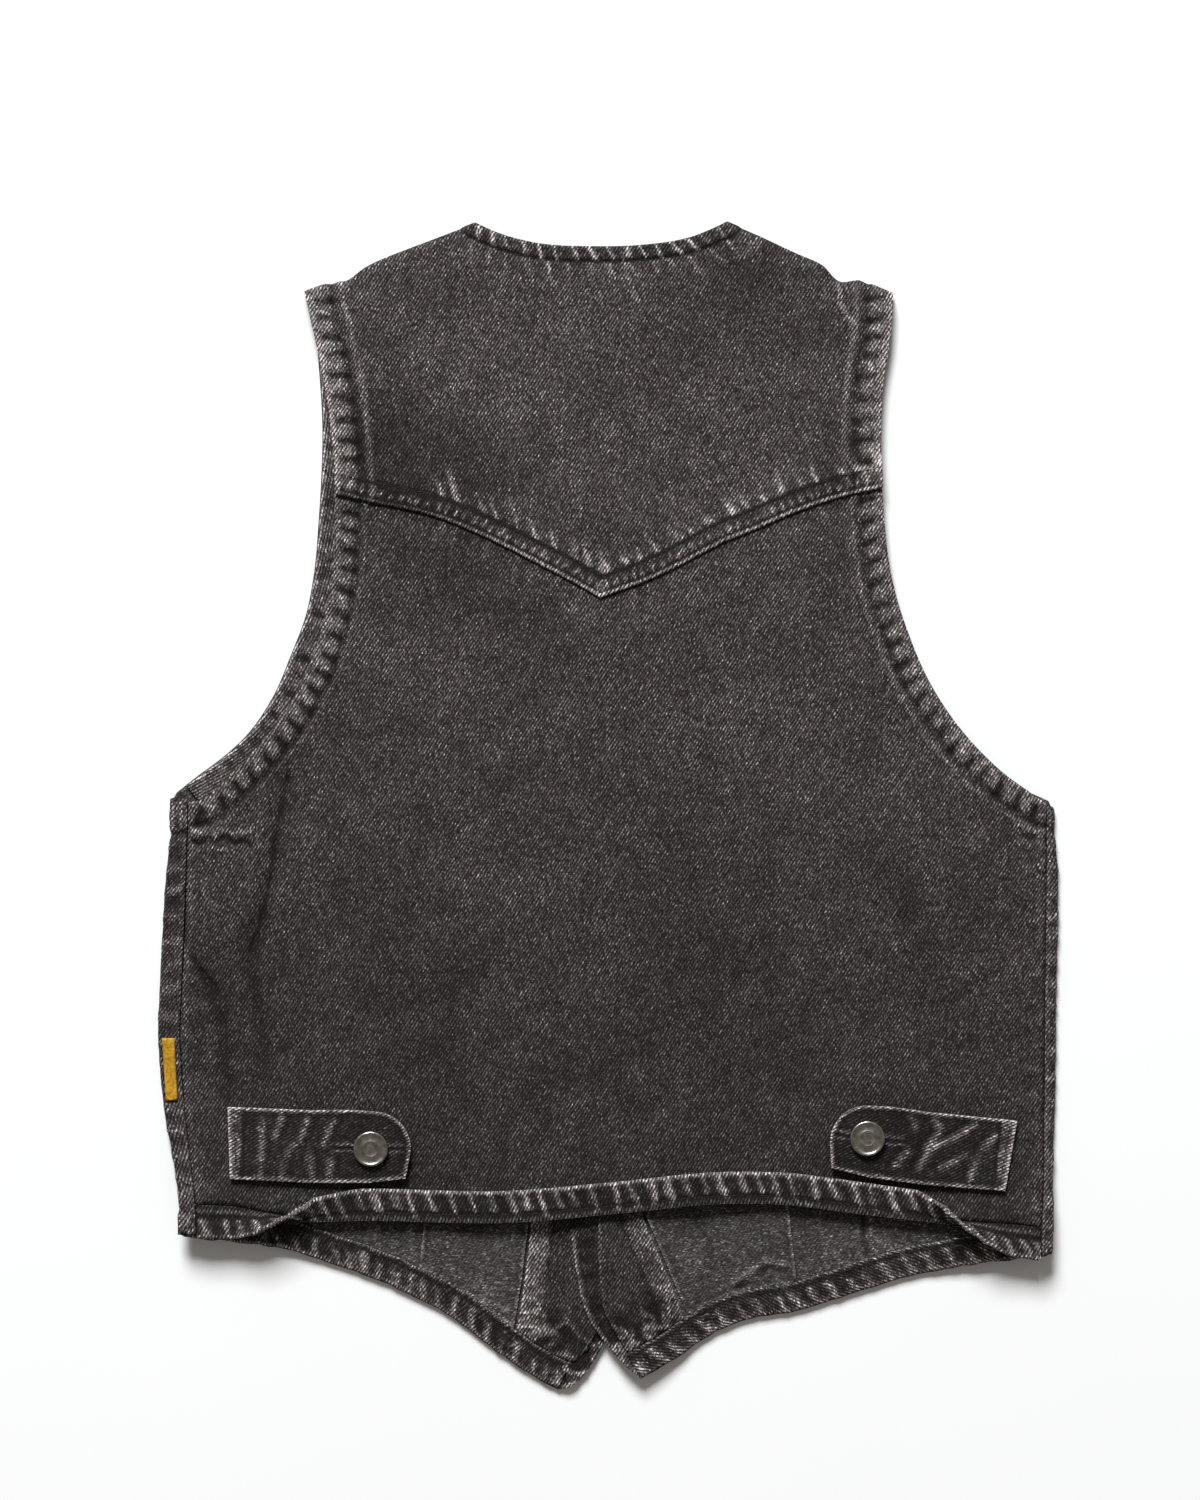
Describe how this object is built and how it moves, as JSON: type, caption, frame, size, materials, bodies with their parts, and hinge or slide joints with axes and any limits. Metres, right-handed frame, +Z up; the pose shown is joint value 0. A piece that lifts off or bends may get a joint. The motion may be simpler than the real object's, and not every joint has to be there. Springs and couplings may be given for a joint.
{
  "type": "denim vest",
  "caption": "Washed black denim waistcoat with a pointed back yoke, buttoned waist tabs and pointed fronts, lying flat on its front.",
  "frame": {"origin": "on the surface it lies on, under the middle of the laid garment's box", "axes": "+Z up from the surface, +Y towards the neck, +X towards the right of the back as it is seen from above"},
  "size_m": [0.4327, 0.5614, 0.0168],
  "materials": {
    "denim": "faded black twill, matt",
    "denim_inside": "faded black twill, the fronts and their wrong side, matt and fuzzy",
    "button_metal": "dull nickel, pressed",
    "label_weave": "mustard woven tape"
  },
  "bodies": {
    "root": {"back_yoke": "denim", "back_body": "denim", "back_hem": "denim", "front_left_hem": "denim", "front_right_hem": "denim", "front_left_facing": "denim", "front_right_facing": "denim", "armhole_facing_left": "denim", "armhole_facing_right": "denim", "tab_left": "denim", "tab_right": "denim", "front_left": "denim_inside", "front_right": "denim_inside", "pocket_bag_left": "denim_inside", "pocket_bag_right": "denim_inside", "tab_button_left": "button_metal", "tab_button_right": "button_metal", "front_button_1": "button_metal", "front_button_2": "button_metal", "front_button_3": "button_metal", "front_button_4": "button_metal", "front_button_5": "button_metal", "side_label": "label_weave"}
  },
  "joints": []
}
